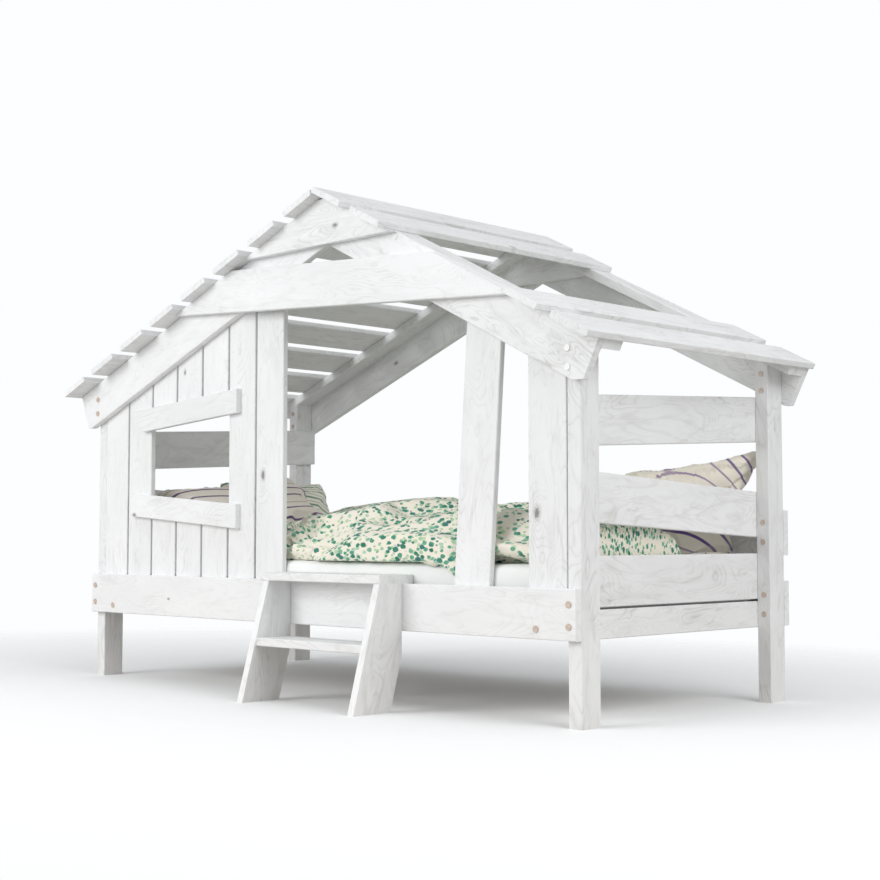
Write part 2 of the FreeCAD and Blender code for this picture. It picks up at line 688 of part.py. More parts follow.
def make_duvet():
    """A thrown-back duvet: a roll along the front, a fold above it, two ridges, a hanging corner."""
    left = size(f"{LEFT_BED} + duvet_left_room")
    right = size(f"{RIGHT_BED} - duvet_right_room")
    back = size(f"{BACK} - 2 * joint_gap")
    front = size(f"{FRONT} + plank_thickness + 2 * joint_gap")
    setback = size("duvet_setback")
    doorway = size(f"{FRONT} + joint_gap")
    flat = size(f"{BED_TOP} + mattress_thickness + soft_gap")
    rise = size("duvet_rise")
    # share of the length; roll's reach into the doorway; fold, front ridge, valley and
    # back ridge, each a share of the mattress's depth and a height above it; far edge
    stations = [
        (0.00, 0.0, 0.05, 20, 0.20, 62, 0.36, 58, 0.56, 88, 0.93),
        (0.09, 0.0, 0.05, 34, 0.19, 104, 0.34, 112, 0.54, 152, 0.95),
        (0.24, 0.0, 0.05, 44, 0.17, 108, 0.32, 124, 0.52, 150, 0.95),
        (0.38, 0.45, 0.05, 58, 0.18, 122, 0.33, 134, 0.50, 162, 0.93),
        (0.50, 0.7, 0.06, 64, 0.20, 150, 0.34, 160, 0.50, 184, 0.92),
        (0.61, 0.9, 0.05, 70, 0.19, 158, 0.33, 162, 0.48, 184, 0.90),
        (0.70, 0.9, 0.04, 58, 0.18, 152, 0.32, 150, 0.46, 176, 0.86),
        (0.75, 0.15, 0.05, 50, 0.18, 150, 0.31, 146, 0.45, 168, 0.78),
        (0.77, 0.0, 0.05, 46, 0.18, 146, 0.30, 140, 0.42, 152, 0.66),
        (0.88, 0.0, 0.05, 40, 0.17, 118, 0.27, 112, 0.36, 112, 0.47),
        (1.00, 0.0, 0.05, 34, 0.16, 84, 0.25, 92, 0.36, 80, 0.46),
    ]
    sections = []
    for share, reach, *shape, far in smoothed(stations, 2):
        x = left + (right - left) * share
        start = front + setback + (doorway - front - setback) * reach
        foot = FreeCAD.Vector(x, start, flat)
        line = [foot]
        for across, up in zip(shape[::2], shape[1::2]):
            line.append(FreeCAD.Vector(x, front + (back - front) * across, flat + rise * up))
        line.append(FreeCAD.Vector(x, front + (back - front) * far, flat))
        lifts = [0.3, 0.2, -0.04, 0.06, 0.16]
        edges = [bulged(*ends, lift, ALONG["x"]) for *ends, lift in zip(line, line[1:], lifts)]
        sections.append(Part.Wire(edges + [Part.makeLine(line[-1], foot)]))
    body = Part.makeLoft(sections, True, True)

    # the corner that hangs in the doorway, beside the leaning plank
    low = flat - size("flap_hang")
    wide = size("flap_width")
    end = size("leaning_plank_foot - flap_plank_gap")
    hem = [(end, low), (end, flat + 5), (end - wide / 4, flat + 28), (end - wide, flat + 28),
           (end - wide, flat - 2), (end - wide * 0.7, flat - 7), (end - wide * 0.07, low)]
    inner = front - size("soft_gap")
    corners = [FreeCAD.Vector(x, inner, z) for x, z in hem]
    flap = Part.Face(Part.makePolygon(corners + corners[:1]))
    flap = flap.extrude(FreeCAD.Vector(0, -size("flap_thickness"), 0))
    make_soft("duvet", body.fuse(flap))


def closed(rings):
    """A solid between rings of points, each ring's sides parallel to the next one's."""
    faces = [Part.Face(Part.makePolygon(ring + ring[:1])) for ring in (rings[0], rings[-1])]
    for lower, upper in zip(rings, rings[1:]):
        for index, point in enumerate(lower):
            corners = [lower[index - 1], point, upper[index], upper[index - 1]]
            faces.append(Part.Face(Part.makePolygon(corners + corners[:1])))
    shell = Part.Shell(faces)
    shell.sewShape()
    solid = Part.Solid(shell)
    if solid.Volume < 0:
        solid.reverse()
    return solid


def make_pillow(label, corners, thickness, lean, yaw):
    """A pillow that leans on the bed's end: its outline, sides drawn in, grows and shrinks
    through its thickness."""
    side = 1 if label.startswith("left") else -1
    near = size(f"{FRONT} + plank_thickness + 2 * joint_gap")
    depth = size(f"{BACK} - 2 * joint_gap") - near
    flat = size(f"{BED_TOP} + mattress_thickness + soft_gap")
    end = size(LEFT_BED if side == 1 else RIGHT_BED)
    half = thickness / 2 * size("pillow_plumpness")
    draw = size("pillow_side_draw")
    crown = [(1.0, 0.0), (0.985, 0.2), (0.955, 0.36), (0.91, 0.51), (0.85, 0.64),
             (0.77, 0.77), (0.66, 0.88), (0.52, 0.96), (0.34, 1.0)]
    levels = [(scale, -up) for scale, up in reversed(crown)] + crown[1:]
    corners = [FreeCAD.Vector(side * across, up, 0) for across, up in corners]
    outline = []
    for here, there in zip(corners, corners[1:] + corners[:1]):
        edge = there - here
        inward = ALONG["z"].cross(edge) * side
        for share in (0, 0.25, 0.5, 0.75):
            outline.append(here + edge * share + inward * draw * share * (1 - share))
    middle = sum(corners, FreeCAD.Vector()) * (1 / len(corners))
    rings = []
    for scale, up in levels:
        level = middle.add(FreeCAD.Vector(0, 0, half * up))
        rings.append([level + (point - middle) * scale for point in outline])
    piece = make_soft(label, closed(rings))
    tilt = math.radians(lean)
    upward = FreeCAD.Vector(-side * math.cos(tilt), 0, math.sin(tilt))
    across = FreeCAD.Vector(0, side, 0)
    turn = FreeCAD.Rotation(across, upward, across.cross(upward), "ZXY")
    turn = FreeCAD.Rotation(ALONG["z"], yaw).multiply(turn)
    along = near + depth * size(f"{label}_share")
    origin = FreeCAD.Vector(end + side * size(f"{label}_inset"), along, 0)
    piece.Placement = FreeCAD.Placement(origin, turn)
    lowest = piece.Shape.optimalBoundingBox(False).ZMin
    piece.Placement.Base = piece.Placement.Base.add(FreeCAD.Vector(0, 0, flat - lowest))


def make_pillows():
    corners = [(-318, -170), (275, -160), (247, 120), (200, 234), (-318, 152)]
    make_pillow("left_pillow", corners, 150, 37, -9.8)
    corners = [(-215, -150), (225, -150), (205, 152), (-215, 150)]
    make_pillow("left_back_pillow", corners, 100, 59, -11.7)
    corners = [(-285, 172), (-120, 118), (-40, 15), (235, 5), (292, 392), (-285, 292)]
    make_pillow("right_pillow", corners, 110, 52.6, 0)


make_posts()
make_rails()
make_end_boards()
make_mattress_base()
make_rafters()
make_roof_slats()
make_gable_boards()
make_planks()
make_leaning_plank()
make_window_boards()
make_step()
make_bolts()
make_mattress()
make_duvet()
make_pillows()
doc.recompute()

for thing in doc.Objects:
    if "Invalid" in thing.State or "Error" in thing.State:
        raise RuntimeError(f"{thing.Label} did not build: {thing.State}")
for thing in parts:
    if thing.Shape.isNull() or not thing.Shape.isValid():
        raise RuntimeError(f"{thing.Label} has no valid shape")

os.makedirs("parts", exist_ok=True)
for thing in parts:
    thing.Shape.exportStep(f"parts/{thing.Label}.step")
print(len(parts), "nodes")
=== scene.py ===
"""House frame bed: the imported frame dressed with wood, cloth and a plain studio."""

import math

import bpy
import numpy
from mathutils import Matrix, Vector


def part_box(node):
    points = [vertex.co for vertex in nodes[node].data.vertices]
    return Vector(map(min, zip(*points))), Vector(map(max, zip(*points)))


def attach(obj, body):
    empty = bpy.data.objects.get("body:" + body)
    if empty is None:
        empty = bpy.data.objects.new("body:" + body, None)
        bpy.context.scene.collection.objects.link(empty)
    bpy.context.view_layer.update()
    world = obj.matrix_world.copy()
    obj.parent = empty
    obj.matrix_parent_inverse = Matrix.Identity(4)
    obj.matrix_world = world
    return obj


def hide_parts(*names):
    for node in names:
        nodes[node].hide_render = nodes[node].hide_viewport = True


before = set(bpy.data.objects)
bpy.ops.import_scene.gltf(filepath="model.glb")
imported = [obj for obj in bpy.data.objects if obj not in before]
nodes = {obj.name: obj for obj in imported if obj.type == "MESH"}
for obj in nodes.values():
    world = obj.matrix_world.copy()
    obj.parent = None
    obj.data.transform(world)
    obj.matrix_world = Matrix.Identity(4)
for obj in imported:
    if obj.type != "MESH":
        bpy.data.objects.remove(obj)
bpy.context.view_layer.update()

# a square picture, taken from a little over the mattress's height; metres and radians, and
# the sensor's width in millimetres
IMAGE_SIDE = 880
FOCAL_PIXELS = 1525.1
CAMERA_PLACE = (3.4437, -3.2859, 0.4755)
CAMERA_YAW = 0.777
CAMERA_PITCH = 0.062
SENSOR = 36

MATTRESS_LOW, MATTRESS_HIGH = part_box("mattress")


# ------------------------------------------------------------------- materials
class Nodes:
    """A material's node tree, with short ways to add and join nodes."""

    def __init__(self, name):
        self.material = bpy.data.materials.new(name)
        self.material.use_nodes = True
        self.tree = self.material.node_tree
        self.tree.nodes.clear()
        self.output = self.tree.nodes.new("ShaderNodeOutputMaterial")

    def add(self, kind, **settings):
        node = self.tree.nodes.new("ShaderNode" + kind)
        for key, value in settings.items():
            setattr(node, key, value)
        return node

    def put(self, value, socket):
        """A constant, or another node's output, into a socket."""
        if isinstance(value, bpy.types.NodeSocket):
            self.tree.links.new(value, socket)
        elif isinstance(value, tuple) and len(value) == 3 and socket.type == "RGBA":
            socket.default_value = (*value, 1)
        else:
            socket.default_value = value

    def maths(self, operation, first, second=0.0, third=0.0):
        node = self.add("Math", operation=operation)
        for value, socket in zip((first, second, third), node.inputs):
            self.put(value, socket)
        return node.outputs[0]

    def vector(self, operation, first, second):
        node = self.add("VectorMath", operation=operation)
        self.put(first, node.inputs[0])
        self.put(second, node.inputs[1])
        return node.outputs[0]

    def noise(self, vector, scale, detail=2.0, roughness=0.5, distortion=0.0):
        node = self.add("TexNoise")
        self.put(vector, node.inputs["Vector"])
        node.inputs["Scale"].default_value = scale
        node.inputs["Detail"].default_value = detail
        node.inputs["Roughness"].default_value = roughness
        node.inputs["Distortion"].default_value = distortion
        return node.outputs["Fac"]

    def ramp(self, value, *stops):
        """A value turned into another one along (place, value or colour) stops."""
        node = self.add("ValToRGB")
        elements = node.color_ramp.elements
        for index, (place, colour) in enumerate(stops):
            element = elements[index] if index < 2 else elements.new(place)
            element.position = place
            grey = not isinstance(colour, tuple)
            element.color = (colour, colour, colour, 1) if grey else (*colour, 1)
        self.put(value, node.inputs[0])
        return node.outputs[0]

    def mix(self, share, first, second):
        node = self.add("Mix", data_type="RGBA")
        self.put(share, node.inputs[0])
        self.put(first, node.inputs[6])
        self.put(second, node.inputs[7])
        return node.outputs[2]

    def finish(self, colour, roughness, height=None, strength=0.3, distance=0.001, **extra):
        shader = self.add("BsdfPrincipled")
        self.put(colour, shader.inputs["Base Color"])
        self.put(roughness, shader.inputs["Roughness"])
        for key, value in extra.items():
            self.put(value, shader.inputs[key])
        if height is not None:
            bump = self.add("Bump")
            bump.inputs["Strength"].default_value = strength
            bump.inputs["Distance"].default_value = distance
            self.put(height, bump.inputs["Height"])
            self.put(bump.outputs[0], shader.inputs["Normal"])
        self.put(shader.outputs[0], self.output.inputs[0])
        return self.material


# how tightly each pattern of the wood winds, per metre along, across and through a board
RING_STRETCH = (2.6, 8.5, 6.0)
COVER_STRETCH = (4, 10, 10)
FIBRE_STRETCH = (10, 460, 460)
SMEAR_STRETCH = (6, 24, 24)
CLOUD_STRETCH = (2.2, 5, 5)
RING_COUNT = 19.0
LINE_STRENGTH = 0.52
FIBRE_STRENGTH = 0.07
SMEAR_STRENGTH = 0.3
KNOT_PULL = 0.42
KNOT_STRENGTH = 0.85
THIN_WASH = (0.80, 0.806, 0.81)
THICK_WASH = (0.88, 0.885, 0.89)
RING_GREY = (0.47, 0.465, 0.445)
KNOT_BROWN = (0.16, 0.15, 0.14)


def wood(name, along, across, place, knots, tone, figure):
    """Whitewashed pine: contour-like growth rings drawn out along the board, fibres, knots.

    along and across are the board's own directions and place a point in it; a knot is a
    point of the row's frame with its radius, in metres. tone darkens the whole board, and
    figure is how strongly its rings show.
    """
    tree = Nodes(name)
    where = tree.add("TexCoord").outputs["Object"]
    through = along.cross(across)

    def board_space(point):
        """Coordinates of the shading point from there: along, across, through."""
        moved = tree.vector("SUBTRACT", where, tuple(point))
        axes = tree.add("CombineXYZ")
        for socket, direction in zip(axes.inputs, (along, across, through)):
            dot = tree.add("VectorMath", operation="DOT_PRODUCT")
            tree.put(moved, dot.inputs[0])
            tree.put(tuple(direction), dot.inputs[1])
            tree.put(dot.outputs["Value"], socket)
        return axes.outputs[0]

    def reach(point, scale):
        """How far the shading point lies from there, each direction with its own scale."""
        length = tree.add("VectorMath", operation="LENGTH")
        tree.put(tree.vector("MULTIPLY", board_space(point), scale), length.inputs[0])
        return length.outputs["Value"]

    def drawn_noise(stretch, *settings):
        return tree.noise(tree.vector("MULTIPLY", local, stretch), 1.0, *settings)

    def toned(colour):
        return tuple(part * tone for part in colour)

    local = board_space(place)
    field = drawn_noise(RING_STRETCH, 2.5, 0.42, 1.1)
    cores = None
    for point, radius in knots:
        pull = tree.maths("POWER", 0.5, reach(point, (0.3 / radius, 0.62 / radius, 0.02)))
        field = tree.maths("MULTIPLY_ADD", pull, KNOT_PULL, field)
        ragged = tree.maths("MULTIPLY", tree.noise(where, 260, 3, 0.7), 1.5)
        core = tree.maths("ADD", reach(point, (0.75 / radius, 1.25 / radius, 0.02)), ragged)
        core = tree.ramp(tree.maths("MULTIPLY", core, 0.4), (0.5, 1.0), (0.64, 0.4), (0.95, 0.0))
        cores = core if cores is None else tree.maths("MAXIMUM", cores, core)
    ring = tree.maths("FRACT", tree.maths("MULTIPLY", field, RING_COUNT))
    line = tree.ramp(ring, (0.0, 0.4), (0.1, 0.12), (0.5, 0.0), (0.82, 0.3), (0.96, 1.0))
    cover = tree.ramp(drawn_noise(COVER_STRETCH, 3, 0.6), (0.4, 0.05), (0.68, 1.0))
    fibre = tree.ramp(drawn_noise(FIBRE_STRETCH, 3, 0.7), (0.48, 0.0), (0.8, 1.0))
    smear = tree.ramp(drawn_noise(SMEAR_STRETCH, 4, 0.6, 1.5), (0.5, 0.0), (0.72, 1.0))
    marks = tree.maths("MULTIPLY", tree.maths("MULTIPLY", line, cover), LINE_STRENGTH * figure)
    marks = tree.maths("MULTIPLY_ADD", fibre, FIBRE_STRENGTH, marks)
    marks = tree.maths("MULTIPLY_ADD", smear, SMEAR_STRENGTH * figure, marks)
    cloud = drawn_noise(CLOUD_STRETCH, 3, 0.55)
    wash = tree.ramp(cloud, (0.3, toned(THIN_WASH)), (0.7, toned(THICK_WASH)))
    colour = tree.mix(marks, wash, toned(RING_GREY))
    if cores is not None:
        colour = tree.mix(tree.maths("MULTIPLY", cores, KNOT_STRENGTH), colour, KNOT_BROWN)
    height = tree.maths("MULTIPLY_ADD", fibre, -0.5, tree.maths("MULTIPLY", line, -0.6))
    return tree.finish(colour, 0.55, height, 0.25, 0.0006)


def directions(vertices):
    """The long and the middle direction of a board, and its middle, from its corners."""
    points = numpy.array([vertex.co for vertex in vertices])
    middle = points.mean(axis=0)
    axes = numpy.linalg.eigh(numpy.cov((points - middle).T))[1]
    return Vector(axes[:, 2]), Vector(axes[:, 1]), Vector(middle)


def paint(node, material):
    for slot in nodes[node].material_slots:
        slot.material = material


# ------------------------------------------------------------------ soft pieces
def piece_from(name, points, faces):
    """A smooth mesh object that rides on the bed."""
    mesh = bpy.data.meshes.new(name)
    mesh.from_pydata([tuple(p) for p in points], [], faces)
    mesh.update()
    for polygon in mesh.polygons:
        polygon.use_smooth = True
    piece = bpy.data.objects.new(name, mesh)
    bpy.context.collection.objects.link(piece)
    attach(piece, "root")
    return piece


def apply_modifiers(piece):
    """The piece's mesh with its modifiers worked in."""
    graph = bpy.context.evaluated_depsgraph_get()
    mesh = bpy.data.meshes.new_from_object(piece.evaluated_get(graph))
    piece.modifiers.clear()
    piece.data = mesh
    for polygon in mesh.polygons:
        polygon.use_smooth = True


def coordinates(piece):
    places = numpy.empty(len(piece.data.vertices) * 3)
    piece.data.vertices.foreach_get("co", places)
    return places.reshape(-1, 3)


def put_coordinates(piece, places):
    piece.data.vertices.foreach_set("co", numpy.asarray(places, float).ravel())
    piece.data.update()


def remeshed(name, node, voxel, share=1.0):
    """A soft CAD solid's form in even small faces, at a share of its size."""
    source = nodes[node].data
    piece = piece_from(name, [v.co for v in source.vertices],
                       [tuple(p.vertices) for p in source.polygons])
    bpy.context.view_layer.objects.active = piece
    remesh = piece.modifiers.new("remesh", "REMESH")
    remesh.mode = "VOXEL"
    remesh.voxel_size = voxel
    apply_modifiers(piece)
    smooth = piece.modifiers.new("smooth", "SMOOTH")
    smooth.iterations = 2
    apply_modifiers(piece)
    low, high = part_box(node)
    middle = (low + high) / 2
    for vertex in piece.data.vertices:
        vertex.co = middle + (vertex.co - middle) * share
    return piece


def seam_group(piece, thickness):
    """Holds the seam: what lies in the piece's own middle plane, where its outline is widest."""
    places = coordinates(piece)
    centre = places.mean(axis=0)
    square = numpy.linalg.eigh(numpy.cov((places - centre).T))[1][:, 0]
    away = numpy.abs((places - centre) @ square)
    group = piece.vertex_groups.new(name="seam")
    for index in numpy.nonzero(away < thickness)[0]:
        group.add([int(index)], 1.0, "REPLACE")
    return group.name


CLOTH_FRAMES = 18
CLOTH_SETTINGS = {
    "quality": 5,
    "mass": 0.25,
    "tension_stiffness": 12,
    "compression_stiffness": 12,
    "shear_stiffness": 4,
    "bending_stiffness": 0.3,
    "tension_damping": 12,
    "compression_damping": 12,
    "use_pressure": True,
}


def blown_up(piece, grow, pressure, cap, seam=0.0):
    """Fills sewn cloth out a little: grow is how far it stretches, cap how far a point moves.

    seam is half the thickness of the middle layer that stays where it is.
    """
    before = coordinates(piece)
    cloth = piece.modifiers.new("cloth", "CLOTH")
    for key, number in CLOTH_SETTINGS.items():
        setattr(cloth.settings, key, number)
    cloth.settings.uniform_pressure_force = pressure
    cloth.settings.shrink_min = -grow
    cloth.settings.effector_weights.gravity = 0
    if seam:
        cloth.settings.vertex_group_mass = seam_group(piece, seam)
    cloth.collision_settings.use_collision = False
    scene = bpy.context.scene
    for frame_number in range(1, CLOTH_FRAMES + 1):
        scene.frame_set(frame_number)
    bpy.context.view_layer.update()
    graph = bpy.context.evaluated_depsgraph_get()
    after = coordinates(piece.evaluated_get(graph))
    piece.modifiers.remove(cloth)
    scene.frame_set(1)
    moved = after - before
    if not seam:
        moved -= moved.mean(axis=0)
    length = numpy.linalg.norm(moved, axis=1)[:, None]
    moved *= numpy.minimum(1, cap / numpy.maximum(length, 1e-9))
    put_coordinates(piece, before + moved)


def refined(piece):
    """Divides the small faces once more, which rounds them off."""
    subdivide = piece.modifiers.new("fine", "SUBSURF")
    subdivide.levels = subdivide.render_levels = 1
    apply_modifiers(piece)


# a rim's height in the crease's depth and its distance in the crease's width
CREASE_RIM = 0.45
RIM_DISTANCE = 2.4
# metres, further than any point lies from a crease
FAR = 9.0


def creased(piece, creases):
    """Presses creases into the cloth: each is a line of the row's frame with a depth and width.

    Beside each crease the cloth rises in a lower rim.
    """
    places = coordinates(piece)
    normals = numpy.empty(len(piece.data.vertices) * 3)
    piece.data.vertices.foreach_get("normal", normals)
    normals = normals.reshape(-1, 3)
    for line, depth, width in creases:
        nearest = numpy.full(len(places), FAR)
        for start, end in zip(line, line[1:]):
            start, end = numpy.array(start), numpy.array(end)
            share = (places - start) @ (end - start) / ((end - start) @ (end - start))
            foot = start + numpy.clip(share, 0, 1)[:, None] * (end - start)
            nearest = numpy.minimum(nearest, numpy.linalg.norm(places - foot, axis=1))
        pressed = -depth * numpy.exp(-(nearest / width) ** 2)
        raised = CREASE_RIM * depth * numpy.exp(-((nearest - RIM_DISTANCE * width) / width) ** 2)
        places = places + normals * (pressed + raised)[:, None]
    put_coordinates(piece, places)


def drawn_out(piece, pulls):
    """Draws the cloth out: a pull is a place, where that place goes and how far round it acts."""
    places = coordinates(piece)
    for start, end, reach in pulls:
        away = numpy.linalg.norm(places - numpy.array(start), axis=1)
        share = numpy.exp(-((away / reach) ** 2))[:, None]
        places = places + share * (numpy.array(end) - numpy.array(start))
    put_coordinates(piece, places)


def held_in(piece, low, high):
    """No part of the piece past these planes: cloth lies flat where it meets wood."""
    put_coordinates(piece, numpy.clip(coordinates(piece), tuple(low), tuple(high)))


# --------------------------------------------------------------- cloth materials
# both in metres: a thread's width, and how far a stripe wanders from its line
THREAD = 0.0016
STRIPE_WANDER = 0.014


def weave(tree, where):
    """A plain weave's height from two crossing waves, one thread to a wave."""
    turns = 2 * math.pi / THREAD
    axes = tree.add("SeparateXYZ")
    tree.put(where, axes.inputs[0])
    x, y, z = axes.outputs
    first = tree.maths("SINE", tree.maths("MULTIPLY", tree.maths("ADD", x, z), turns))
    second = tree.maths("SINE", tree.maths("MULTIPLY", tree.maths("ADD", y, z), turns))
    return tree.maths("MULTIPLY", first, second)


def cotton(tree, colour, where):
    """Woven cotton: a fine weave, soft small creases and a little sheen."""
    height = tree.maths("MULTIPLY", weave(tree, where), 0.4)
    creases = tree.noise(where, 38, 3, 0.55, 0.8)
    height = tree.maths("MULTIPLY_ADD", creases, 4.0, height)
    extra = {"Sheen Weight": 0.15, "Sheen Roughness": 0.5}
    return tree.finish(colour, 0.85, height, 0.35, 0.0012, **extra)


def striped(name, origin, up, along, ground, stripes, spacing, bow):
    """Cotton with thin stripes that run along one direction and bow as they go.

    The stripes repeat every spacing metres upwards. Each is (place in the repeat, half width
    in the repeat, colour).
    """
    tree = Nodes(name)
    where = tree.add("TexCoord").outputs["Object"]
    local = tree.vector("SUBTRACT", where, tuple(origin))
    readings = []
    for direction in (up, along):
        dot = tree.add("VectorMath", operation="DOT_PRODUCT")
        tree.put(local, dot.inputs[0])
        tree.put(tuple(direction), dot.inputs[1])
        readings.append(dot.outputs["Value"])
    height, run = readings
    bowed = tree.maths("MULTIPLY_ADD", tree.maths("MULTIPLY", run, run), bow, height)
    wander = tree.noise(where, 5, 1)
    bowed = tree.maths("MULTIPLY_ADD", wander, STRIPE_WANDER, bowed)
    repeat = tree.maths("FRACT", tree.maths("MULTIPLY", bowed, 1 / spacing))
    fade = tree.ramp(tree.noise(where, 9, 2), (0.3, 0.75), (0.7, 1.0))
    colour = ground
    for place, half, tint in stripes:
        off = tree.maths("ABSOLUTE", tree.maths("SUBTRACT", repeat, place))
        line = tree.ramp(off, (half * 0.8, 1.0), (half * 1.1, 0.0))
        colour = tree.mix(tree.maths("MULTIPLY", line, fade), colour, tint)
    return cotton(tree, colour, where)


# three scatters of dabs, pale to dark: turn, dabs per metre, smallest and largest dab (in
# dabs' spacings), least share of places that have one, greens
DAB_LAYERS = (
    ((0.5, 0.2, 0.9), (46, 88, 64), 0.34, 0.54, 0.8,
     ((0.36, 0.58, 0.36), (0.50, 0.66, 0.40), (0.40, 0.60, 0.50))),
    ((0.3, 0.5, -0.5), (40, 80, 58), 0.36, 0.55, 0.48,
     ((0.04, 0.27, 0.17), (0.10, 0.36, 0.24), (0.22, 0.46, 0.32))),
    ((0.2, -0.4, 0.25), (36, 76, 54), 0.36, 0.54, 0.05,
     ((0.015, 0.14, 0.09), (0.03, 0.24, 0.16), (0.03, 0.16, 0.15))),
)


def dabs(tree, where, turn, scale, small, large, share):
    """A scatter of leaning dabs: 1 inside a dab, 0 outside, and a number for each dab's colour."""
    lie = tree.add("Mapping")
    tree.put(where, lie.inputs["Vector"])
    lie.inputs["Rotation"].default_value = turn
    lie.inputs["Scale"].default_value = scale
    cells = tree.add("TexVoronoi")
    tree.put(lie.outputs[0], cells.inputs["Vector"])
    cells.inputs["Scale"].default_value = 1
    cells.distance = "MINKOWSKI"
    cells.inputs["Exponent"].default_value = 1.4
    cells.inputs["Randomness"].default_value = 0.75
    axes = tree.add("SeparateXYZ")
    tree.put(cells.outputs["Color"], axes.inputs[0])
    shade, kind, spare = axes.outputs
    radius = tree.ramp(spare, (0.0, small), (1.0, large))
    inside = tree.maths("SUBTRACT", radius, cells.outputs["Distance"])
    inside = tree.ramp(tree.maths("MULTIPLY", inside, 12.0), (0.0, 0.0), (1.0, 1.0))
    patches = tree.ramp(tree.noise(where, 6, 1, 0.4), (0.36, share), (0.6, 1.0))
    there = tree.maths("LESS_THAN", kind, patches)
    return tree.maths("MULTIPLY", inside, there), shade


def dotted(name, ground):
    """Cream cotton with a scattered print of small leaning dabs in several greens."""
    tree = Nodes(name)
    where = tree.add("TexCoord").outputs["Object"]
    colour = ground
    for turn, scale, small, large, share, greens in DAB_LAYERS:
        there, shade = dabs(tree, where, turn, scale, small, large, share)
        steps = [(index / (len(greens) - 1), green) for index, green in enumerate(greens)]
        colour = tree.mix(there, colour, tree.ramp(shade, *steps))
    return cotton(tree, colour, where)


# -------------------------------------------------------------------- the woods
UP = Vector((0, 0, 1))
LENGTHWAYS = Vector((1, 0, 0))
CROSSWAYS = Vector((0, 1, 0))
# knots of single boards: a place in the row's frame and a radius, in metres
KNOTS = {
    "wall_plank_7": [((-0.174, -0.371, 0.656), 0.012)],
    "corner_plank": [((0.92, -0.371, 0.53), 0.013), ((0.90, -0.371, 0.98), 0.006)],
    "window_lower_board": [((-0.826, -0.39, 0.541), 0.008)],
    "front_gable_board": [((0.202, -0.418, 1.360), 0.009)],
    "window_head_planks": [((-0.576, -0.371, 0.998), 0.007)],
    "back_left_rafter": [((-0.55, 0.5, 1.10), 0.008)],
    "right_end_upper_board": [((1.02, -0.10, 0.86), 0.007)],
    "right_end_lower_board": [((1.02, 0.18, 0.47), 0.006)],
    "left_end_middle_board": [((-1.02, 0.12, 0.62), 0.008)],
    "left_end_upper_board": [((-1.02, -0.2, 0.86), 0.008)],
    "back_rail": [((0.4, 0.57, 0.3), 0.009), ((-0.5, 0.57, 0.33), 0.007)],
    "front_rail": [((-0.62, -0.394, 0.27), 0.005)],
    "right_roof_slat_2": [((0.4, 0.1, 1.3), 0.009)],
}
# groups of boards, whose own directions don't show in the group's corners
GROUP_RUNS = {"bed_slats": (CROSSWAYS, LENGTHWAYS), "mattress_cleats": (LENGTHWAYS, CROSSWAYS),
              "window_sill_planks": (UP, LENGTHWAYS), "window_head_planks": (UP, LENGTHWAYS)}
CALM_BOARDS = ("front_tie", "front_rail", "front_left_rafter", "wall_plank", "window", "leaning")
CALM_FIGURE = 0.6
TONE_STEP = 0.012
CUT_ALONG = 3.1
CUT_ACROSS = 0.37
SOFT = ("mattress", "duvet", "left_pillow", "left_back_pillow", "right_pillow")

# each board is cut from its own place in the wood, and the tone differs a little
for index, name in enumerate(sorted(nodes)):
    if name in SOFT or name == "connector_bolts":
        continue
    along, across, middle = directions(nodes[name].data.vertices)
    if name in GROUP_RUNS:
        along, across = GROUP_RUNS[name]
    start = middle + along * (CUT_ALONG * (index % 7 - 3)) + across * (CUT_ACROSS * (index % 5))
    plain = name in ("bed_slats", "mattress_cleats")
    slot_name = "plain_pine" if plain else "whitewashed_pine"
    tone = 1.0 - TONE_STEP * (index % 4)
    figure = CALM_FIGURE if name.startswith(CALM_BOARDS) else 1.0
    knots = KNOTS.get(name, ())
    paint(name, wood(f"{slot_name}.{name}", along, across, start, knots, tone, figure))

PAINTED_ABOVE = 0.87
PAINT_WHITE = (0.80, 0.80, 0.79)
DULL_COPPER = (0.50, 0.38, 0.31)
BRIGHT_COPPER = (0.72, 0.62, 0.55)


def bolt_metal():
    """Bolt heads: painted white high up at the front right, coppery everywhere else."""
    tree = Nodes("zinc_bolt")
    position = tree.add("SeparateXYZ")
    tree.put(tree.add("TexCoord").outputs["Object"], position.inputs[0])
    x, y, z = position.outputs
    high = tree.maths("GREATER_THAN", z, PAINTED_ABOVE)
    in_front = tree.maths("LESS_THAN", y, 0)
    to_right = tree.maths("GREATER_THAN", x, 0)
    painted = tree.maths("MULTIPLY", tree.maths("MULTIPLY", high, in_front), to_right)
    spots = tree.noise(tree.add("TexCoord").outputs["Object"], 300, 2)
    copper = tree.ramp(spots, (0.35, DULL_COPPER), (0.7, BRIGHT_COPPER))
    return tree.finish(tree.mix(painted, copper, PAINT_WHITE), 0.42, Metallic=0.15)


paint("connector_bolts", bolt_metal())

# ---------------------------------------------------------------------- bedding
CREAM = (0.86, 0.81, 0.70)
PALE = (0.75, 0.70, 0.625)
COVER_WHITE = (0.885, 0.9, 0.89)


def finished(piece, look, node):
    """Rounds a soft piece off, gives it its cloth and hides the solid it stands for."""
    refined(piece)
    piece.data.materials.clear()
    piece.data.materials.append(look)
    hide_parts(node)


def mattress_cloth():
    tree = Nodes("mattress_cover")
    return cotton(tree, COVER_WHITE, tree.add("TexCoord").outputs["Object"])


mattress = remeshed("mattress_foam", "mattress", voxel=0.014)
held_in(mattress, MATTRESS_LOW, MATTRESS_HIGH)
finished(mattress, mattress_cloth(), "mattress")

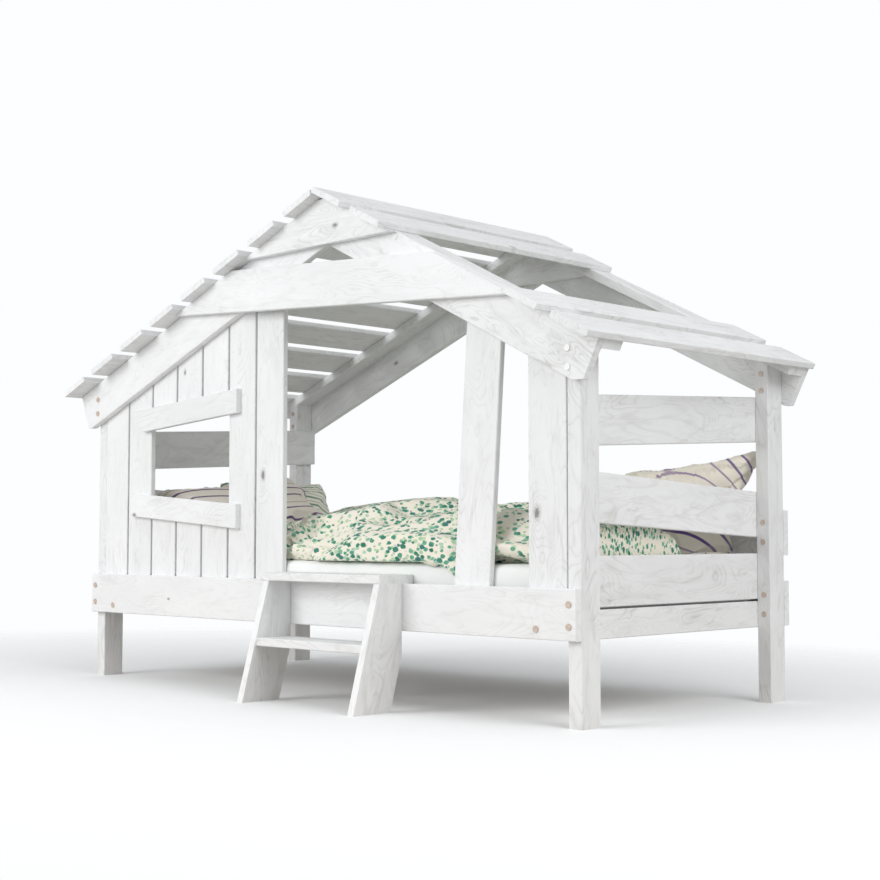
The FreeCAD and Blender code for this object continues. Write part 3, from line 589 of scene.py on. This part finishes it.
# lines of the row's frame, each with its depth and width
DUVET_CREASES = (
    (((-0.10, -0.33, 0.455), (0.10, -0.31, 0.452), (0.23, -0.30, 0.457), (0.35, -0.30, 0.466),
      (0.47, -0.30, 0.469), (0.527, -0.31, 0.431), (0.56, -0.33, 0.395)), 0.016, 0.013),
    (((0.16, -0.20, 0.530), (0.26, -0.25, 0.505), (0.38, -0.27, 0.500)), 0.012, 0.014),
    (((-0.02, -0.10, 0.555), (0.12, -0.14, 0.545), (0.25, -0.13, 0.56)), 0.009, 0.016),
    (((-0.47, -0.28, 0.46), (-0.30, -0.24, 0.49), (-0.16, -0.20, 0.52)), 0.012, 0.015),
    (((0.60, -0.20, 0.55), (0.72, -0.24, 0.50), (0.86, -0.22, 0.49)), 0.012, 0.015),
    (((-0.40, 0.05, 0.56), (-0.15, 0.02, 0.55), (0.05, 0.10, 0.56)), 0.010, 0.018),
    (((-0.30, 0.25, 0.55), (0.05, 0.30, 0.55), (0.40, 0.24, 0.57)), 0.010, 0.018),
    (((0.45, 0.00, 0.57), (0.62, 0.06, 0.57), (0.75, -0.02, 0.56)), 0.010, 0.016),
)
# the far corner reaches further back under the end boards
DUVET_PULLS = [((0.98, 0.03, 0.45), (0.98, 0.14, 0.45), 0.14)]
CORNER_LEFT = 0.50
CORNER_RIGHT = 0.64
CORNER_DROP = 0.35
CLEARANCE = 0.0005


def corner_hung(piece):
    """Lets only the corner beside the leaning plank hang below the mattress's top."""
    places = coordinates(piece)
    below = numpy.maximum(MATTRESS_HIGH.z + CLEARANCE - places[:, 2], 0)
    across = (places[:, 0] > CORNER_LEFT) & (places[:, 0] < CORNER_RIGHT)
    corner = across & (places[:, 1] < MATTRESS_LOW.y)
    places[:, 2] += numpy.where(corner, -CORNER_DROP * below, below)
    put_coordinates(piece, places)


duvet = remeshed("duvet_filled", "duvet", voxel=0.0085, share=0.995)
blown_up(duvet, grow=0.14, pressure=1.4, cap=0.026)
creased(duvet, DUVET_CREASES)
drawn_out(duvet, DUVET_PULLS)
corner_hung(duvet)
held_in(duvet, *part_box("duvet"))
finished(duvet, dotted("duvet_cotton", CREAM), "duvet")

PURPLE = (0.085, 0.035, 0.15)
VIOLET = (0.10, 0.045, 0.24)
MAUVE = (0.33, 0.24, 0.38)
TAUPE = (0.47, 0.40, 0.33)
GREEN = (0.10, 0.27, 0.19)
MINT = (0.42, 0.55, 0.47)
LEAN_LEFT = Vector((-0.8, 0.1, 0.6))
LEAN_BACK = Vector((-0.5, 0.1, 0.86))
LEAN_RIGHT = Vector((0.6, 0, 0.8))
# node, slot, fill, the direction across the stripes and along them, cloth, the stripes' spacing,
# how much they bow, and the stripes themselves
PILLOWS = (
    ("left_pillow", "purple_stripe_cotton", 0.7, LEAN_LEFT, CROSSWAYS, PALE, 0.11, -0.5,
     ((0.2, 0.035, PURPLE), (0.55, 0.03, PURPLE), (0.8, 0.025, TAUPE))),
    ("left_back_pillow", "green_stripe_cotton", 0.65, LEAN_BACK, Vector((0.3, 0.9, 0)), CREAM,
     0.032, 0.6, ((0.25, 0.13, GREEN), (0.7, 0.07, MINT))),
    ("right_pillow", "purple_stripe_cotton", 0.6, LEAN_RIGHT, CROSSWAYS, CREAM, 0.24, 1.39,
     ((0.125, 0.021, VIOLET), (0.917, 0.02, VIOLET), (0.73, 0.014, MAUVE), (0.54, 0.01, MAUVE),
      (0.417, 0.008, TAUPE))),
)
# the right pillow's corners: the high ones beside the post and over the boards, the low one slack
PILLOW_PULLS = {
    "right_pillow": [((0.975, 0.50, 0.67), (0.995, 0.535, 0.675), 0.09),
                     ((0.905, -0.04, 0.64), (0.905, 0.06, 0.645), 0.12),
                     ((0.75, 0.32, 0.43), (0.89, 0.49, 0.44), 0.16)],
}
# how far a pillow may pass its solid's box: to the right, to the back and upwards
SLACK = Vector((0.008, 0.008, 0.008))
for node, slot_name, fill, up, along, ground, spacing, bow, stripes in PILLOWS:
    pillow = remeshed(node + "_filled", node, voxel=0.006, share=0.995)
    blown_up(pillow, grow=0.10, pressure=2.2, cap=0.014, seam=0.007)
    drawn_out(pillow, PILLOW_PULLS.get(node, ()))
    low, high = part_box(node)
    held_in(pillow, low, high + SLACK)
    look = striped(f"{slot_name}.{node}", (low + high) / 2, up, along, ground, stripes,
                   spacing, bow)
    finished(pillow, look, node)

# ----------------------------------------------------------------------- studio
FLOOR_RADIUS = 4.2
FLOOR_CORNERS = 96
# the floor's white part is longer than deep, and fades out between these shares of its radius
FLOOR_STRETCH = (0.72, 1, 1)
FADE_START = 0.24
FADE_END = 0.62
FLOOR_FOR_LIGHT = (0.62, 0.59, 0.55)
FLOOR_FOR_CAMERA = (0.92, 0.925, 0.93)
ROOM_WHITE = (0.975, 0.988, 1.0, 1)
BACKDROP_WHITE = (0.975, 0.99, 1.0, 1)
LIGHT_BELOW = 0.42
LIGHT_ABOVE = 0.66

turns = numpy.linspace(0, 2 * math.pi, FLOOR_CORNERS, endpoint=False)
ring = [(FLOOR_RADIUS * math.cos(turn), FLOOR_RADIUS * math.sin(turn), 0) for turn in turns]
floor_mesh = bpy.data.meshes.new("floor")
floor_mesh.from_pydata(ring, [], [tuple(range(len(ring)))])
floor = bpy.data.objects.new("floor", floor_mesh)
bpy.context.collection.objects.link(floor)


def studio_floor():
    """A white floor that gives less light back to the bed and fades out into the backdrop."""
    tree = Nodes("floor_white")
    reach = tree.add("VectorMath", operation="LENGTH")
    tree.put(tree.vector("MULTIPLY", tree.add("TexCoord").outputs["Object"], FLOOR_STRETCH),
             reach.inputs[0])
    shader = tree.add("BsdfPrincipled")
    shader.inputs["Roughness"].default_value = 0.9
    seen = tree.add("LightPath").outputs["Is Camera Ray"]
    tree.put(tree.mix(seen, FLOOR_FOR_LIGHT, FLOOR_FOR_CAMERA), shader.inputs["Base Color"])
    blend = tree.add("MixShader")
    share = tree.maths("MULTIPLY", reach.outputs["Value"], 1 / FLOOR_RADIUS)
    tree.put(tree.ramp(share, (FADE_START, 0.0), (FADE_END, 1.0)), blend.inputs[0])
    tree.put(shader.outputs[0], blend.inputs[1])
    tree.put(tree.add("BsdfTransparent").outputs[0], blend.inputs[2])
    tree.put(blend.outputs[0], tree.output.inputs[0])
    return tree.material


floor_mesh.materials.append(studio_floor())


def studio_world():
    """Soft light from all round, weaker from below, and a white backdrop for the camera."""
    world = bpy.data.worlds.new("studio")
    bpy.context.scene.world = world
    world.use_nodes = True
    tree = world.node_tree
    tree.nodes.clear()

    def add(kind):
        return tree.nodes.new("ShaderNode" + kind)

    split = add("SeparateXYZ")
    tree.links.new(add("TexCoord").outputs["Generated"], split.inputs[0])
    strength = add("MapRange")
    tree.links.new(split.outputs[2], strength.inputs["Value"])
    strength.inputs["From Min"].default_value = -0.25
    strength.inputs["From Max"].default_value = 0.35
    strength.inputs["To Min"].default_value = LIGHT_BELOW
    strength.inputs["To Max"].default_value = LIGHT_ABOVE
    room = add("Background")
    room.inputs["Color"].default_value = ROOM_WHITE
    tree.links.new(strength.outputs[0], room.inputs["Strength"])
    backdrop = add("Background")
    backdrop.inputs["Color"].default_value = BACKDROP_WHITE
    backdrop.inputs["Strength"].default_value = 1.0
    either = add("MixShader")
    tree.links.new(add("LightPath").outputs["Is Camera Ray"], either.inputs[0])
    tree.links.new(room.outputs[0], either.inputs[1])
    tree.links.new(backdrop.outputs[0], either.inputs[2])
    tree.links.new(either.outputs[0], add("OutputWorld").inputs[0])


def softbox(name, place, aim, width, watts):
    """A square lamp turned towards a place."""
    lamp = bpy.data.lights.new(name, "AREA")
    lamp.size = width
    lamp.energy = watts
    holder = bpy.data.objects.new(name, lamp)
    bpy.context.collection.objects.link(holder)
    holder.location = place
    holder.rotation_euler = (Vector(aim) - Vector(place)).to_track_quat("-Z", "Y").to_euler()


studio_world()
softbox("key_light", place=(-1.2, -5.2, 2.5), aim=(0, 0, 0.6), width=3.2, watts=166)
softbox("side_light", place=(4.4, -0.6, 2.9), aim=(1.0, 0, 0.6), width=2.6, watts=80)

# ---------------------------------------------------------------------- camera
camera = bpy.data.objects.new("camera", bpy.data.cameras.new("camera"))
bpy.context.collection.objects.link(camera)
camera.location = CAMERA_PLACE
camera.rotation_euler = (math.pi / 2 + CAMERA_PITCH, 0, CAMERA_YAW)
camera.data.sensor_width = SENSOR
camera.data.lens = SENSOR * FOCAL_PIXELS / IMAGE_SIDE
bpy.context.scene.camera = camera
bpy.context.scene.view_settings.view_transform = "Standard"
